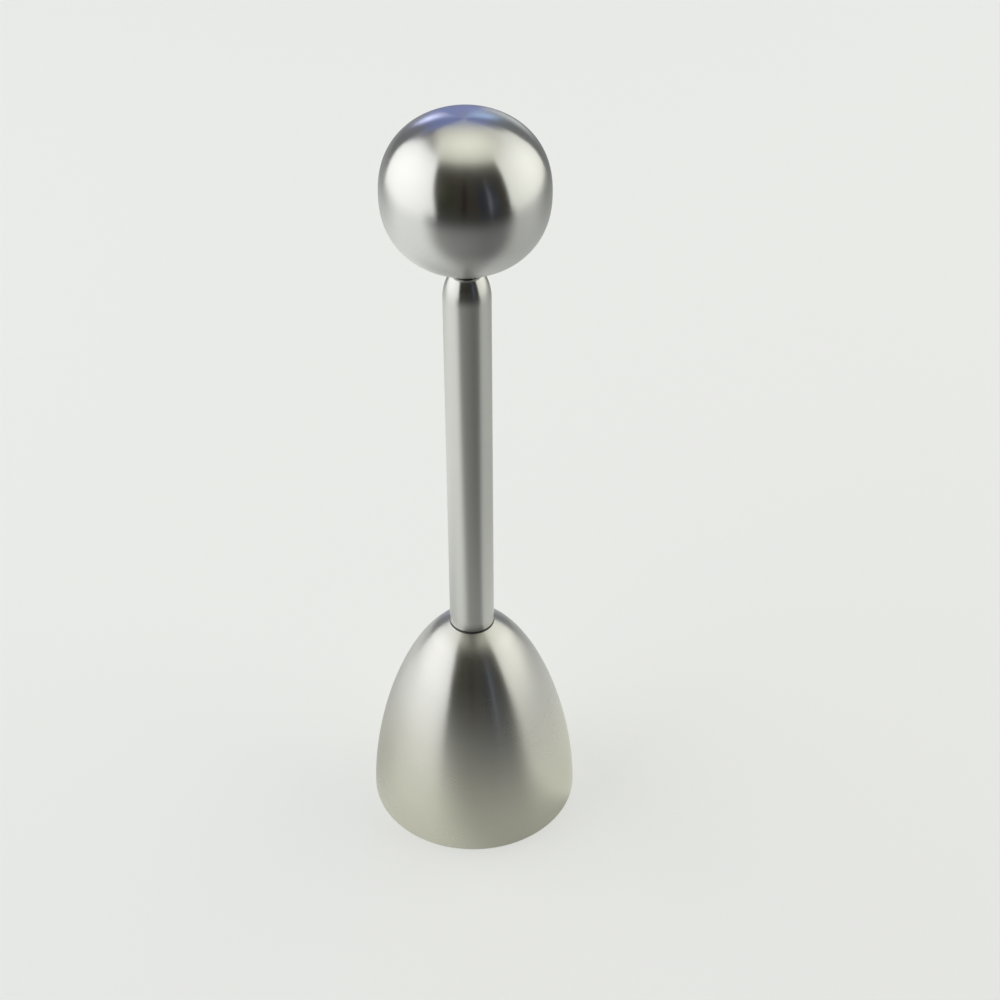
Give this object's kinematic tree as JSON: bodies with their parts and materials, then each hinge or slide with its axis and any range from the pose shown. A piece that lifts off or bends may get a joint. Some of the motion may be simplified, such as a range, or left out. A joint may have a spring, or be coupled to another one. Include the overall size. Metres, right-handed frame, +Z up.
{
  "type": "egg topper",
  "caption": "Spring-loaded egg topper: open steel bell on a thin tube with a ball knob that is pulled up and let go to crack the shell along the bell's rim.",
  "frame": {"origin": "centre of the bell's rim, on the surface that the topper stands on", "axes": "+Z up along the axis of the bell, the tube, the rod and the ball; the rest is round about it"},
  "size_m": [0.0382, 0.0382, 0.1434],
  "materials": {
    "bell_steel": "brushed",
    "tube_steel": "satin",
    "ball_steel": "satin",
    "rod_steel": "polished",
    "anvil_steel": "turned",
    "striker_steel": "turned",
    "washer_steel": "stamped",
    "screw_steel": "polished",
    "spring_steel": "drawn wire",
    "bush_brass": "turned",
    "seal_rubber": "matte"
  },
  "bodies": {
    "housing": {"bell": "bell_steel", "seal_ring": "seal_rubber", "tube": "tube_steel", "guide_bush": "bush_brass", "upper_spring_washer": "washer_steel", "spring": "spring_steel", "anvil_plug": "anvil_steel", "flat_washer": "washer_steel", "lock_washer": "washer_steel", "bell_screw": "screw_steel"},
    "spring_follower": {"lower_spring_washer": "washer_steel"},
    "plunger": {"striker": "striker_steel", "striker_pin": "striker_steel", "rod": "rod_steel", "ball_boss": "anvil_steel", "ball_lower_shell": "ball_steel", "ball_upper_shell": "ball_steel"}
  },
  "joints": [
    {"name": "pull", "type": "slide", "parent": "housing", "child": "spring_follower", "axis": [0, 0, 1], "range_m": [0, 0.02], "stiffness_N_per_m": 600, "springref_m": -0.006, "deforming": ["spring"]},
    {"name": "spin", "type": "hinge", "parent": "spring_follower", "child": "plunger", "pos_m": [0, 0, 0.069], "axis": [0, 0, 1], "continuous": true}
  ]
}
